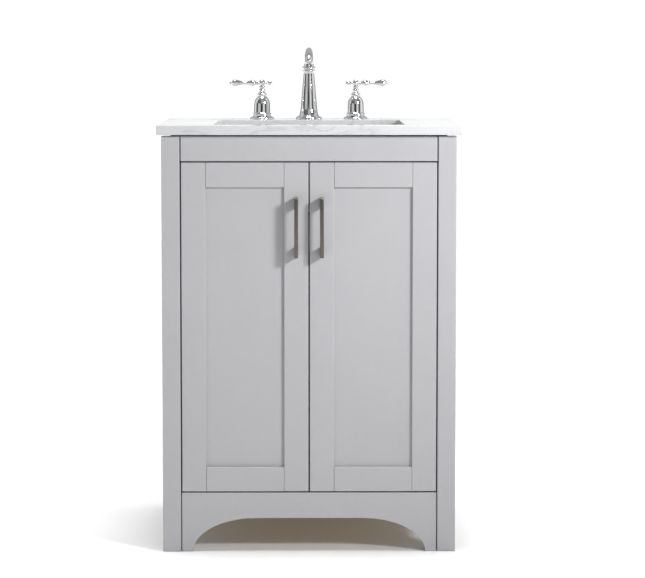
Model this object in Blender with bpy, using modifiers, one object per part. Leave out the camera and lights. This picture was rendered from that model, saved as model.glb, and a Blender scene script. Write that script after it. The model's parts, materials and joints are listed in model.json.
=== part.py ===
"""A small bathroom vanity: shaker cabinet, stone top, undermount basin and widespread faucet.

Metres, +Z up, front towards -Y, floor at z = 0 and the outline centred on the origin.
"""

import math

import bmesh
import bpy
from mathutils import Matrix, Vector

MM = 0.001
TOUCH = 0.3 * MM  # air left between solids that rest on each other

# Stone top
TOP_WIDTH = 610 * MM
TOP_DEPTH = 483 * MM
TOP_HEIGHT = 864 * MM
TOP_THICK = 19 * MM
TOP_FRONT = -232.5 * MM
TOP_BACK = TOP_FRONT + TOP_DEPTH
UNDERSIDE = TOP_HEIGHT - TOP_THICK
BOWL_WIDTH = 388 * MM
BOWL_DEPTH = 295 * MM
BOWL_Y = TOP_FRONT + 50 * MM + BOWL_DEPTH / 2
BOWL_CORNER = 10 * MM

# Carcass
POST = 36.5 * MM
POST_FRONT = TOP_FRONT + 12 * MM
FACE_FRONT = POST_FRONT + 1.5 * MM  # front of the doors and rails
HALF_WIDTH = 296 * MM
OPENING = HALF_WIDTH - POST  # half the width between the posts
BOARD = 19 * MM
SIDE_THICK = 20 * MM
TOP_RAIL_LOW = 792 * MM
VALANCE_TOP = 120 * MM
ARCH_TOP = 68 * MM
FOOT = 24 * MM
ARCH_END = 128 * MM
SEAM = 1.8 * MM  # shadow groove beside the posts
REVEAL = 3 * MM  # dark gap between the stone and the front of the carcass
DECK_THICK = 18 * MM
BACK_THICK = 6 * MM
PIPE_HOLES = (  # x, height and radius: hot, cold and waste
    (-110 * MM, 545 * MM, 26 * MM),
    (110 * MM, 545 * MM, 26 * MM),
    (58 * MM, 465 * MM, 36 * MM),
)

# Doors
GAP = 2.5 * MM
DOOR_WIDTH = (2 * OPENING - 3 * GAP) / 2
DOOR_LOW = VALANCE_TOP + GAP
DOOR_HIGH = TOP_RAIL_LOW - GAP
DOOR_THICK = BOARD
STILE = 49 * MM
RAIL = 50 * MM
GROOVE_DEEP = 8.5 * MM
GROOVE_WIDE = 6.4 * MM
PANEL_THICK = 5.8 * MM
PULL_LENGTH = 120 * MM
PULL_BAR = 7.8 * MM
PULL_REACH = 31.5 * MM
PULL_TOP = 70 * MM  # below the top of the door

# Hinges, in plan from the post's inner front corner: x into the opening, y inwards
AXIS = Vector((1.25, -1.0)) * MM
ARM_PIVOT = Vector((17.0, 28.0)) * MM
CUP_PIVOT = Vector((23.0, 26.5)) * MM
ELBOW = ARM_PIVOT + CUP_PIVOT - AXIS
HINGE_INSET = 95 * MM
CUP_RADIUS = 17.5 * MM
PIN = 2.0 * MM
PIN_HOLE = 2.3 * MM

# Faucet, heights above the stone top
FAUCET_Y = TOP_BACK - 68 * MM
HANDLE_X = 101.6 * MM
LEVER_Z = 78 * MM


def clear_scene():
    for old in list(bpy.data.objects):
        bpy.data.objects.remove(old, do_unlink=True)


def new_collection(name, hidden=False):
    made = bpy.data.collections.new(name)
    bpy.context.scene.collection.children.link(made)
    made.hide_render = hidden
    return made


def make_finish(name, colour, roughness, metallic=0.0):
    finish = bpy.data.materials.new(name)
    finish.use_nodes = True
    shader = finish.node_tree.nodes["Principled BSDF"]
    shader.inputs["Base Color"].default_value = (*colour, 1.0)
    shader.inputs["Roughness"].default_value = roughness
    shader.inputs["Metallic"].default_value = metallic
    finish.diffuse_color = (*colour, 1.0)
    return finish


clear_scene()
PARTS = new_collection("bathroom_vanity")
CUTTERS = new_collection("cutters", hidden=True)

PAINT = make_finish("grey_paint", (0.52, 0.53, 0.55), 0.42)
INSIDE = make_finish("cabinet_interior", (0.58, 0.50, 0.39), 0.5)
STONE = make_finish("white_quartz", (0.86, 0.86, 0.86), 0.18)
CERAMIC = make_finish("basin_ceramic", (0.88, 0.88, 0.87), 0.08)
CHROME = make_finish("chrome", (0.80, 0.80, 0.82), 0.05, 1.0)
NICKEL = make_finish("brushed_nickel", (0.36, 0.33, 0.29), 0.32, 1.0)
STEEL = make_finish("hinge_steel", (0.62, 0.62, 0.63), 0.3, 1.0)
BRASS = make_finish("valve_brass", (0.70, 0.55, 0.28), 0.35, 1.0)


# ---------------------------------------------------------------- shape helpers


def place(mesh, name, finish, origin=(0, 0, 0), cutter=False):
    """An object of this mesh, whose points are about origin."""
    made = bpy.data.objects.new(name, mesh)
    made.location = origin
    if cutter:
        CUTTERS.objects.link(made)
        made.display_type = "WIRE"
        made.hide_render = True
    else:
        PARTS.objects.link(made)
        mesh.materials.append(finish)
    bpy.context.view_layer.update()
    return made


def box(name, low, high, finish=None, bevel=0.0, segments=1):
    """A box between two corners, with its origin at its centre; a cutter when it has no finish."""
    low = Vector(low)
    size = Vector(high) - low
    shape = bmesh.new()
    bmesh.ops.create_cube(shape, size=1.0)
    bmesh.ops.scale(shape, vec=size, verts=shape.verts)
    mesh = bpy.data.meshes.new(name)
    shape.to_mesh(mesh)
    shape.free()
    made = place(mesh, name, finish, low + size / 2, cutter=finish is None)
    if bevel:
        soften(made, bevel, segments)
    return made


def cylinder(name, radius, start, end, finish=None, segments=32):
    """A cylinder from start to end; a cutter when it has no finish."""
    start = Vector(start)
    run = Vector(end) - start
    shape = bmesh.new()
    bmesh.ops.create_cone(
        shape,
        cap_ends=True,
        segments=segments,
        radius1=radius,
        radius2=radius,
        depth=run.length,
        matrix=run.to_track_quat("Z", "Y").to_matrix().to_4x4(),
    )
    mesh = bpy.data.meshes.new(name)
    shape.to_mesh(mesh)
    shape.free()
    return place(mesh, name, finish, start + run / 2, cutter=finish is None)


def soften(piece, width, segments=1):
    edge = piece.modifiers.new("edge", "BEVEL")
    edge.width = width
    edge.segments = segments
    edge.limit_method = "ANGLE"
    edge.angle_limit = math.radians(40)
    edge.use_clamp_overlap = True


def combine(piece, other, operation):
    step = piece.modifiers.new(operation.lower(), "BOOLEAN")
    step.operation = operation
    step.solver = "EXACT"
    step.object = other


def cut(piece, *tools):
    for tool in tools:
        combine(piece, tool, "DIFFERENCE")


def join(piece, *tools):
    for tool in tools:
        combine(piece, tool, "UNION")


def flat_shape(name, outline, depth, finish=None):
    """A closed outline in X and Y, extruded depth along Z about z = 0."""
    curve = bpy.data.curves.new(name, "CURVE")
    curve.dimensions = "2D"
    curve.fill_mode = "BOTH"
    curve.extrude = depth / 2
    spline = curve.splines.new("POLY")
    spline.points.add(len(outline) - 1)
    for point, (x, y) in zip(spline.points, outline):
        point.co = (x, y, 0.0, 1.0)
    spline.use_cyclic_u = True
    holder = bpy.data.objects.new(name + "_outline", curve)
    CUTTERS.objects.link(holder)
    bpy.context.view_layer.update()
    graph = bpy.context.evaluated_depsgraph_get()
    mesh = bpy.data.meshes.new_from_object(holder.evaluated_get(graph))
    bpy.data.objects.remove(holder, do_unlink=True)
    weld(mesh)
    return place(mesh, name, finish, cutter=finish is None)


def weld(mesh):
    shape = bmesh.new()
    shape.from_mesh(mesh)
    bmesh.ops.remove_doubles(shape, verts=shape.verts, dist=1e-6)
    bmesh.ops.recalc_face_normals(shape, faces=shape.faces)
    shape.to_mesh(mesh)
    shape.free()


def turn_mesh(piece, matrix):
    piece.data.transform(matrix)
    piece.data.update()


def lathe(name, profile, origin, finish=None, steps=24, closed=False):
    """A turned piece about Z: (radius, height) pairs down its outer side, top to bottom."""
    mesh = bpy.data.meshes.new(name)
    points = [(radius, 0.0, height) for radius, height in profile]
    edges = [(i, i + 1) for i in range(len(points) - 1)]
    if closed:
        edges.append((len(points) - 1, 0))
    mesh.from_pydata(points, edges, [])
    made = place(mesh, name, finish, origin, cutter=finish is None)
    screw = made.modifiers.new("turn", "SCREW")
    screw.axis = "Z"
    screw.steps = steps
    screw.render_steps = steps
    screw.use_merge_vertices = True
    screw.merge_threshold = 1e-5
    screw.use_smooth_shade = True
    return made


def settle(piece, angle=35):
    """Turns the piece's modifiers into mesh and shades it smooth between its sharp edges."""
    bpy.context.view_layer.update()
    graph = bpy.context.evaluated_depsgraph_get()
    mesh = bpy.data.meshes.new_from_object(piece.evaluated_get(graph))
    piece.modifiers.clear()
    piece.data = mesh
    mesh.shade_smooth()
    mesh.set_sharp_from_angle(angle=math.radians(angle))
    return piece


def arc(centre, radii, start, end, steps):
    """Points on an ellipse from one angle to another, in degrees, both ends included."""
    points = []
    for i in range(steps + 1):
        angle = math.radians(start + (end - start) * i / steps)
        points.append((centre[0] + radii[0] * math.cos(angle), centre[1] + radii[1] * math.sin(angle)))
    return points


def rounded_rectangle(width, depth, radius, steps=5):
    points = []
    for sx, sy, start in ((1, 1, 0), (-1, 1, 90), (-1, -1, 180), (1, -1, 270)):
        centre = (sx * (width / 2 - radius), sy * (depth / 2 - radius))
        points += arc(centre, (radius, radius), start, start + 90, steps)
    return points


def pivot(name, position):
    """An empty on a joint's axis, for the pieces that turn or slide on it."""
    made = bpy.data.objects.new(name, None)
    made.location = position
    made.empty_display_size = 0.03
    PARTS.objects.link(made)
    bpy.context.view_layer.update()
    return made


def hang(parent, *pieces):
    for piece in pieces:
        piece.parent = parent
        piece.matrix_parent_inverse = parent.matrix_world.inverted()


# ---------------------------------------------------------------- carcass


def corner_posts():
    for side, x in (("left", -1), ("right", 1)):
        low_x, high_x = sorted((x * HALF_WIDTH, x * OPENING))
        for where, y, gap in (("front", POST_FRONT, REVEAL), ("rear", TOP_BACK - POST, TOUCH)):
            box(
                f"{where}_post_{side}",
                (low_x, y, 0),
                (high_x, y + POST, UNDERSIDE - gap),
                PAINT,
                bevel=0.8 * MM,
            )


def side_panels():
    for side, x in (("left", -1), ("right", 1)):
        low_x, high_x = sorted((x * OPENING, x * (OPENING + SIDE_THICK)))
        box(
            f"side_panel_{side}",
            (low_x, POST_FRONT + POST + TOUCH, ARCH_TOP),
            (high_x, TOP_BACK - POST - TOUCH, UNDERSIDE - TOUCH),
            PAINT,
            bevel=0.6 * MM,
        )


def seam_cutters(name, low, high):
    """Cuts the front corners of a rail beside the posts, so that a dark groove shows there."""
    half = OPENING - TOUCH
    for x in (-1, 1):
        low_x, high_x = sorted((x * (half - SEAM), x * (half + 5 * MM)))
        yield box(
            f"{name}_seam",
            (low_x, FACE_FRONT - 5 * MM, low - 5 * MM),
            (high_x, FACE_FRONT + 8 * MM, high + 5 * MM),
        )


def top_front_rail():
    half = OPENING - TOUCH
    high = UNDERSIDE - REVEAL
    rail = box(
        "top_front_rail",
        (-half, FACE_FRONT, TOP_RAIL_LOW),
        (half, FACE_FRONT + BOARD, high),
        PAINT,
    )
    cut(rail, *seam_cutters("top_front_rail", TOP_RAIL_LOW, high))
    soften(rail, 0.7 * MM)
    settle(rail)


def valance():
    """The arched rail under the doors, with its two feet on the floor."""
    half = OPENING - TOUCH
    inner = half - FOOT
    flat = inner - ARCH_END
    outline = [(-half, 0), (-inner, 0)]
    outline += arc((-flat, 0), (ARCH_END, ARCH_TOP), 180, 90, 14)[1:]
    outline += arc((flat, 0), (ARCH_END, ARCH_TOP), 90, 0, 14)[:-1]
    outline += [(inner, 0), (half, 0), (half, VALANCE_TOP), (-half, VALANCE_TOP)]
    rail = flat_shape("valance", outline, BOARD, PAINT)
    turn_mesh(rail, Matrix.Rotation(math.radians(90), 4, "X"))
    rail.location = (0, FACE_FRONT + BOARD / 2, 0)
    cut(rail, *seam_cutters("valance", 0, VALANCE_TOP))
    soften(rail, 0.7 * MM)
    settle(rail)


def bottom_deck():
    half = OPENING - TOUCH
    box(
        "bottom_deck",
        (-half, FACE_FRONT + BOARD + TOUCH, VALANCE_TOP - DECK_THICK),
        (half, TOP_BACK - BACK_THICK - TOUCH, VALANCE_TOP),
        INSIDE,
        bevel=0.5 * MM,
    )


def back_panel():
    """A thin back with two supply holes and a waste hole beside the middle."""
    half = OPENING - TOUCH
    panel = box(
        "back_panel",
        (-half, TOP_BACK - BACK_THICK, ARCH_TOP),
        (half, TOP_BACK, UNDERSIDE - TOUCH),
        INSIDE,
    )
    for x, z, radius in PIPE_HOLES:
        start = (x, TOP_BACK - 3 * BACK_THICK, z)
        end = (x, TOP_BACK + 2 * BACK_THICK, z)
        cut(panel, cylinder("back_panel_hole", radius, start, end, segments=20))
    settle(panel)


def rear_nailing_rail():
    half = OPENING - TOUCH
    back = TOP_BACK - BACK_THICK - TOUCH
    box(
        "rear_nailing_rail",
        (-half, back - 18 * MM, 745 * MM),
        (half, back, UNDERSIDE - TOUCH),
        INSIDE,
        bevel=0.5 * MM,
    )


# ---------------------------------------------------------------- doors


def door_x(side, u):
    """World x of a point u inside the opening, measured from the post's inner face."""
    return side * (OPENING - u)


def plan_point(side, point):
    return (door_x(side, point[0]), FACE_FRONT + point[1])


def door_box(name, side, u, z, depth, finish=None, bevel=0.0):
    """A box given by its span from the post, its height span and its span behind the door's front."""
    low_x, high_x = sorted((door_x(side, u[0]), door_x(side, u[1])))
    return box(
        name,
        (low_x, FACE_FRONT + depth[0], z[0]),
        (high_x, FACE_FRONT + depth[1], z[1]),
        finish,
        bevel,
    )


def groove_span():
    middle = DOOR_THICK / 2
    return (middle - GROOVE_WIDE / 2, middle + GROOVE_WIDE / 2)


def tongue_span():
    middle = DOOR_THICK / 2
    return (middle - PANEL_THICK / 2, middle + PANEL_THICK / 2)


def door_stile(name, side, u_outer, u_inner):
    """A full-height stile with a groove along its inner edge."""
    stile = door_box(
        name, side, sorted((u_outer, u_inner)), (DOOR_LOW, DOOR_HIGH), (0, DOOR_THICK), PAINT, 0.9 * MM
    )
    inward = 1 if u_inner > u_outer else -1
    groove = door_box(
        name + "_groove",
        side,
        sorted((u_inner - inward * GROOVE_DEEP, u_inner + inward * 4 * MM)),
        (DOOR_LOW - 5 * MM, DOOR_HIGH + 5 * MM),
        groove_span(),
    )
    cut(stile, groove)
    return stile


def door_rail(name, side, u, z_outer, z_inner):
    """A rail between the stiles, with a tongue at each end and a groove for the panel."""
    inward = 1 if z_inner > z_outer else -1
    rail = door_box(
        name,
        side,
        (u[0] + TOUCH, u[1] - TOUCH),
        sorted((z_outer, z_inner)),
        (0, DOOR_THICK),
        PAINT,
        0.9 * MM,
    )
    reach = GROOVE_DEEP - 0.5 * MM
    tongue = door_box(
        name + "_tongue",
        side,
        (u[0] - reach, u[1] + reach),
        sorted((z_outer + inward * 1 * MM, z_inner - inward * 2 * MM)),
        tongue_span(),
    )
    groove = door_box(
        name + "_groove",
        side,
        (u[0] - 20 * MM, u[1] + 20 * MM),
        sorted((z_inner - inward * GROOVE_DEEP, z_inner + inward * 4 * MM)),
        groove_span(),
    )
    join(rail, tongue)
    cut(rail, groove)
    return settle(rail)


def door_pull(name, side, u):
    """A square bow pull: a bar on two legs at its ends."""
    height = DOOR_HIGH - PULL_TOP - PULL_LENGTH / 2
    half = PULL_LENGTH / 2
    leg = 20 * MM
    bar = 9 * MM
    near = -TOUCH
    far = -PULL_REACH
    inner = half - leg
    corner = 5 * MM
    outline = [(near, -half), (near, -inner)]
    outline += arc((far + bar + corner, -inner + corner), (corner, corner), 270, 180, 4)
    outline += arc((far + bar + corner, inner - corner), (corner, corner), 180, 90, 4)
    outline += [(near, inner), (near, half)]
    outline += arc((far + 3 * MM, half - 3 * MM), (3 * MM, 3 * MM), 90, 180, 3)
    outline += arc((far + 3 * MM, -half + 3 * MM), (3 * MM, 3 * MM), 180, 270, 3)
    pull = flat_shape(name, outline, PULL_BAR, NICKEL)
    turn_mesh(pull, Matrix(((0, 0, 1, 0), (1, 0, 0, 0), (0, 1, 0, 0), (0, 0, 0, 1))))
    pull.location = (door_x(side, u), FACE_FRONT, height)
    soften(pull, 1.0 * MM)
    return settle(pull, 50)


def hinge_heights():
    return {"lower": DOOR_LOW + HINGE_INSET, "upper": DOOR_HIGH - HINGE_INSET}


def cup_mortises(name, side):
    for where, z in hinge_heights().items():
        x, _ = plan_point(side, (GAP + 22 * MM, 0))
        yield cylinder(
            f"{name}_{where}_mortise",
            CUP_RADIUS + TOUCH,
            (x, FACE_FRONT + 7 * MM, z + 4.2 * MM),
            (x, FACE_FRONT + DOOR_THICK + 5 * MM, z + 4.2 * MM),
            segments=24,
        )


def door(word, side):
    """One shaker door; every piece hangs on an empty on the door's turning axis."""
    u_hinge = GAP
    u_open = GAP + DOOR_WIDTH
    hinge_stile = door_stile(f"{word}_door_hinge_stile", side, u_hinge, u_hinge + STILE)
    cut(hinge_stile, *cup_mortises(f"{word}_door", side))
    settle(hinge_stile)
    pull_stile = settle(door_stile(f"{word}_door_pull_stile", side, u_open, u_open - STILE))
    span = (u_hinge + STILE, u_open - STILE)
    bottom = door_rail(f"{word}_door_bottom_rail", side, span, DOOR_LOW, DOOR_LOW + RAIL)
    top = door_rail(f"{word}_door_top_rail", side, span, DOOR_HIGH, DOOR_HIGH - RAIL)
    edge = GROOVE_DEEP - 1 * MM
    panel = door_box(
        f"{word}_door_panel",
        side,
        (span[0] - edge, span[1] + edge),
        (DOOR_LOW + RAIL - edge, DOOR_HIGH - RAIL + edge),
        tongue_span(),
        PAINT,
    )
    pull = door_pull(f"{word}_door_pull", side, u_open - STILE / 2)
    x, y = plan_point(side, AXIS)
    axis = pivot(f"{word}_door_axis", (x, y, DOOR_LOW))
    cups = [hinge_cup(word, where, side, z) for where, z in hinge_heights().items()]
    hang(axis, hinge_stile, pull_stile, bottom, top, panel, pull, *cups)
    return axis


# ---------------------------------------------------------------- hinges


def plan_bar(name, side, start, end, width, low, high, finish=None):
    """A flat bar between two plan points, square ended."""
    first = Vector(plan_point(side, start))
    last = Vector(plan_point(side, end))
    run = last - first
    bar = box(name, (-run.length / 2, -width / 2, low), (run.length / 2, width / 2, high), finish)
    middle = (first + last) / 2
    bar.location = (middle.x, middle.y, (low + high) / 2)
    bar.rotation_euler = (0, 0, math.atan2(run.y, run.x))
    return bar


def plan_disc(name, side, point, radius, low, high, finish=None, segments=16):
    x, y = plan_point(side, point)
    return cylinder(name, radius, (x, y, low), (x, y, high), finish, segments)


def hinge_cup(word, where, side, z):
    """The cup in the door's back, its screw flange and the ear that holds the outer link."""
    name = f"{word}_{where}_hinge_cup"
    centre = (GAP + 22 * MM, 0)
    x, _ = plan_point(side, centre)
    height = z + 4.2 * MM
    back = FACE_FRONT + DOOR_THICK
    rim = 1.3 * MM
    profile = [
        (14 * MM, TOUCH + rim),
        (20 * MM, TOUCH + rim),
        (20 * MM, TOUCH),
        (CUP_RADIUS, TOUCH),
        (CUP_RADIUS, -11 * MM),
        (0, -11 * MM),
        (0, -7 * MM),
        (14 * MM, -7 * MM),
    ]
    cup = lathe(name, profile, (x, back, height), STEEL, steps=24, closed=True)
    cup.rotation_euler = (math.radians(-90), 0, 0)
    wings = box(
        name + "_wings",
        (x - 6 * MM, back + TOUCH + 0.1 * MM, height - 27 * MM),
        (x + 6 * MM, back + TOUCH + rim - 0.1 * MM, height + 27 * MM),
    )
    bowl = cylinder(name + "_bowl", 14 * MM, (x, back - 7 * MM, height), (x, back + 20 * MM, height))
    cut(wings, bowl)
    low = z + 8.8 * MM
    high = z + 12.8 * MM
    ear = plan_bar(name + "_ear", side, (CUP_PIVOT.x, 9.5 * MM), CUP_PIVOT, 10 * MM, low, high)
    eye = plan_disc(name + "_eye", side, CUP_PIVOT, 5 * MM, low, high)
    bore = plan_disc(name + "_bore", side, CUP_PIVOT, PIN_HOLE, low - 3 * MM, high + 3 * MM)
    join(cup, wings, ear, eye)
    cut(cup, bore)
    return settle(cup)


def hinge_arm(word, where, side, z):
    """The arm and its mounting plate on the side panel, with the inner link's pin."""
    name = f"{word}_{where}_hinge_arm"
    plate = door_box(
        name, side, (TOUCH, 2.8 * MM), (z - 22 * MM, z + 17 * MM), (42 * MM, 78 * MM), STEEL, 0.6 * MM
    )
    across = (2 * MM, 11 * MM)
    upward = (z - 8.4 * MM, z + 3.6 * MM)
    body = door_box(name + "_body", side, across, upward, (34 * MM, 74 * MM), bevel=1.5 * MM)
    low = z - 4.4 * MM
    high = z - 0.4 * MM
    neck = plan_bar(name + "_neck", side, (7 * MM, 44 * MM), ARM_PIVOT, 9 * MM, low, high)
    eye = plan_disc(name + "_eye", side, ARM_PIVOT, 5 * MM, low, high)
    pin = plan_disc(name + "_pin", side, ARM_PIVOT, PIN, low + 1 * MM, z + 4 * MM, segments=12)
    join(plate, body, neck, eye, pin)
    return settle(plate)


def hinge_links(word, where, side, z):
    """The inner link turns on the arm's pin; the outer link's pins drop into the cup and the inner link."""
    name = f"{word}_{where}_hinge_inner_link"
    inner = plan_bar(name, side, ARM_PIVOT, ELBOW, 8 * MM, z, z + 4 * MM, STEEL)
    ends = [plan_disc(f"{name}_end", side, point, 4.5 * MM, z, z + 4 * MM) for point in (ARM_PIVOT, ELBOW)]
    holes = [
        plan_disc(f"{name}_hole", side, point, PIN_HOLE, z - 3 * MM, z + 7 * MM, segments=12)
        for point in (ARM_PIVOT, ELBOW)
    ]
    join(inner, *ends)
    cut(inner, *holes)
    settle(inner)

    name = f"{word}_{where}_hinge_outer_link"
    low = z + 4.4 * MM
    high = z + 8.4 * MM
    outer = plan_bar(name, side, CUP_PIVOT, ELBOW, 7 * MM, low, high, STEEL)
    ends = [plan_disc(f"{name}_end", side, point, 4 * MM, low, high) for point in (CUP_PIVOT, ELBOW)]
    up = plan_disc(f"{name}_cup_pin", side, CUP_PIVOT, PIN, low + 1 * MM, z + 12.8 * MM, segments=12)
    down = plan_disc(f"{name}_elbow_pin", side, ELBOW, PIN, z, high - 1 * MM, segments=12)
    join(outer, *ends, up, down)
    settle(outer)
    return inner, outer


def hinges(word, side, door_axis):
    heights = hinge_heights()
    inner_axis = pivot(f"{word}_inner_link_axis", (*plan_point(side, ARM_PIVOT), heights["lower"]))
    outer_axis = pivot(f"{word}_outer_link_axis", (*plan_point(side, CUP_PIVOT), heights["lower"]))
    hang(door_axis, outer_axis)
    bpy.context.view_layer.update()
    for where, z in heights.items():
        hinge_arm(word, where, side, z)
        inner, outer = hinge_links(word, where, side, z)
        hang(inner_axis, inner)
        hang(outer_axis, outer)


# ---------------------------------------------------------------- top and basin


def countertop():
    top = box(
        "countertop",
        (-TOP_WIDTH / 2, TOP_FRONT, UNDERSIDE),
        (TOP_WIDTH / 2, TOP_BACK, TOP_HEIGHT),
        STONE,
        bevel=1.2 * MM,
        segments=2,
    )
    bowl = flat_shape("countertop_bowl", rounded_rectangle(BOWL_WIDTH, BOWL_DEPTH, BOWL_CORNER, 4), 60 * MM)
    bowl.location = (0, BOWL_Y, TOP_HEIGHT)
    low = UNDERSIDE - 9 * MM
    high = TOP_HEIGHT + 9 * MM
    holes = [
        cylinder("countertop_hole", 17 * MM, (x, FAUCET_Y, low), (x, FAUCET_Y, high))
        for x in (-HANDLE_X, 0, HANDLE_X)
    ]
    cut(top, bowl, *holes)
    settle(top)


def tub(name, top_size, bottom_size, depth, corner, floor_corner, steps, finish=None):
    """A tapered tub hanging down from z = 0, with rounded corners and a rounded floor edge."""
    shape = bmesh.new()
    bmesh.ops.create_cube(shape, size=1.0)
    for vert in shape.verts:
        size = top_size if vert.co.z > 0 else bottom_size
        vert.co.x *= size[0]
        vert.co.y *= size[1]
        vert.co.z = 0.0 if vert.co.z > 0 else -depth
    upright = [edge for edge in shape.edges if abs(edge.verts[0].co.z - edge.verts[1].co.z) > depth / 2]
    bmesh.ops.bevel(shape, geom=upright, offset=corner, segments=steps, profile=0.5, affect="EDGES")
    low = [edge for edge in shape.edges if all(vert.co.z < -depth + 1e-6 for vert in edge.verts)]
    bmesh.ops.bevel(shape, geom=low, offset=floor_corner, segments=steps, profile=0.5, affect="EDGES")
    mesh = bpy.data.meshes.new(name)
    shape.to_mesh(mesh)
    shape.free()
    return place(mesh, name, finish, cutter=finish is None)


def basin():
    """The undermount bowl: a rim under the stone, a tapered bowl and the drain hole."""
    wall = 8 * MM
    rim = 12 * MM
    depth = 130 * MM
    taper = 46 * MM
    rim_top = UNDERSIDE - TOUCH
    inside = (BOWL_WIDTH + 4 * MM, BOWL_DEPTH + 4 * MM)
    outside = [side + 2 * wall for side in inside]
    floor = [side - taper for side in inside]
    under = [side - taper for side in outside]
    bowl = tub("basin", outside, under, depth + 10 * MM, BOWL_CORNER + wall, BOWL_CORNER + wall, 2, CERAMIC)
    bowl.location = (0, BOWL_Y, rim_top)
    outline = rounded_rectangle(outside[0] + 10 * MM, outside[1] + 10 * MM, 20 * MM, 4)
    plate = flat_shape("basin_rim", outline, rim)
    plate.location = (0, BOWL_Y, rim_top - rim / 2)
    hollow = tub("basin_hollow", inside, floor, depth, BOWL_CORNER, BOWL_CORNER, 2)
    hollow.location = (0, BOWL_Y, rim_top)
    mouth_outline = rounded_rectangle(inside[0] - 0.5 * MM, inside[1] - 0.5 * MM, BOWL_CORNER, 4)
    mouth = flat_shape("basin_mouth", mouth_outline, 30 * MM)
    mouth.location = (0, BOWL_Y, rim_top + 14 * MM)
    hole_low = (0, BOWL_Y, rim_top - depth - 30 * MM)
    hole_high = (0, BOWL_Y, rim_top - depth + 30 * MM)
    drain_hole = cylinder("basin_drain_hole", 22.5 * MM, hole_low, hole_high)
    join(bowl, plate)
    cut(bowl, hollow, mouth, drain_hole)
    settle(bowl, 40)


def drain():
    """Flanged drain through the basin floor, its lock nut and the push-up stopper."""
    floor = UNDERSIDE - TOUCH - 130 * MM
    below = UNDERSIDE - TOUCH - 140 * MM
    profile = [
        (17 * MM, floor + 2.2 * MM - UNDERSIDE),
        (22 * MM, floor + 3.2 * MM - UNDERSIDE),
        (29 * MM, floor + 2.0 * MM - UNDERSIDE),
        (30 * MM, floor + TOUCH - UNDERSIDE),
        (21 * MM, floor + TOUCH - UNDERSIDE),
        (21 * MM, below - 26 * MM - UNDERSIDE),
        (17.5 * MM, below - 30 * MM - UNDERSIDE),
        (15.9 * MM, below - 110 * MM - UNDERSIDE),
        (14.6 * MM, below - 110 * MM - UNDERSIDE),
        (14.6 * MM, below - 28 * MM - UNDERSIDE),
        (17 * MM, below - 24 * MM - UNDERSIDE),
    ]
    settle(lathe("drain_flange", profile, (0, BOWL_Y, UNDERSIDE), CHROME, steps=20, closed=True))
    nut = cylinder(
        "drain_lock_nut",
        29 * MM,
        (0, BOWL_Y, below - TOUCH - 10 * MM),
        (0, BOWL_Y, below - TOUCH),
        BRASS,
        segments=6,
    )
    soften(nut, 0.8 * MM)
    bore_low = (0, BOWL_Y, below - 20 * MM)
    bore_high = (0, BOWL_Y, below + 10 * MM)
    cut(nut, cylinder("drain_nut_bore", 21 * MM + TOUCH, bore_low, bore_high))
    settle(nut)
    seat = floor + 3.2 * MM + TOUCH
    cap = [
        (0, 5.0 * MM),
        (8 * MM, 4.7 * MM),
        (16 * MM, 3.8 * MM),
        (22 * MM, 2.4 * MM),
        (23 * MM, 1.2 * MM),
        (22.4 * MM, 0),
        (0, 0),
    ]
    stopper = lathe("drain_stopper", cap, (0, BOWL_Y, seat), CHROME, steps=24)
    low = seat - 34 * MM
    high = seat + 1 * MM
    wide = 15 * MM
    thin = 1.2 * MM
    fins = [
        box("drain_stopper_fin", (-half_x, BOWL_Y - half_y, low), (half_x, BOWL_Y + half_y, high))
        for half_x, half_y in ((wide, thin), (thin, wide))
    ]
    join(stopper, *fins)
    settle(stopper)


# ---------------------------------------------------------------- faucet


def lock_nut(name, x, radius):
    top = -TOP_THICK - TOUCH
    profile = [
        (radius, top),
        (24 * MM, top),
        (24 * MM, top - 3 * MM),
        (19 * MM, top - 4 * MM),
        (19 * MM, top - 12 * MM),
        (radius, top - 12 * MM),
    ]
    settle(lathe(name, profile, (x, FAUCET_Y, TOP_HEIGHT), BRASS, steps=20, closed=True))


def spout_base():
    """The tapered column with its flange, and the shank through the stone."""
    profile = [
        (0, 107.0),
        (10.5, 107.0),
        (13.6, 106.4),
        (14.3, 104.6),
        (13.6, 102.8),
        (11.9, 101.8),
        (11.5, 99.0),
        (12.6, 84.0),
        (14.4, 64.0),
        (16.2, 42.0),
        (17.4, 28.0),
        (18.8, 16.0),
        (20.8, 9.0),
        (22.5, 6.6),
        (25.5, 5.4),
        (28.3, 3.4),
        (28.5, 0.3),
        (13.0, 0.3),
        (13.0, -70.0),
        (0, -70.0),
    ]
    points = [(radius * MM, height * MM) for radius, height in profile]
    settle(lathe("spout_base", points, (0, FAUCET_Y, TOP_HEIGHT), CHROME))
    lock_nut("spout_lock_nut", 0, 13.3 * MM)


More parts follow.
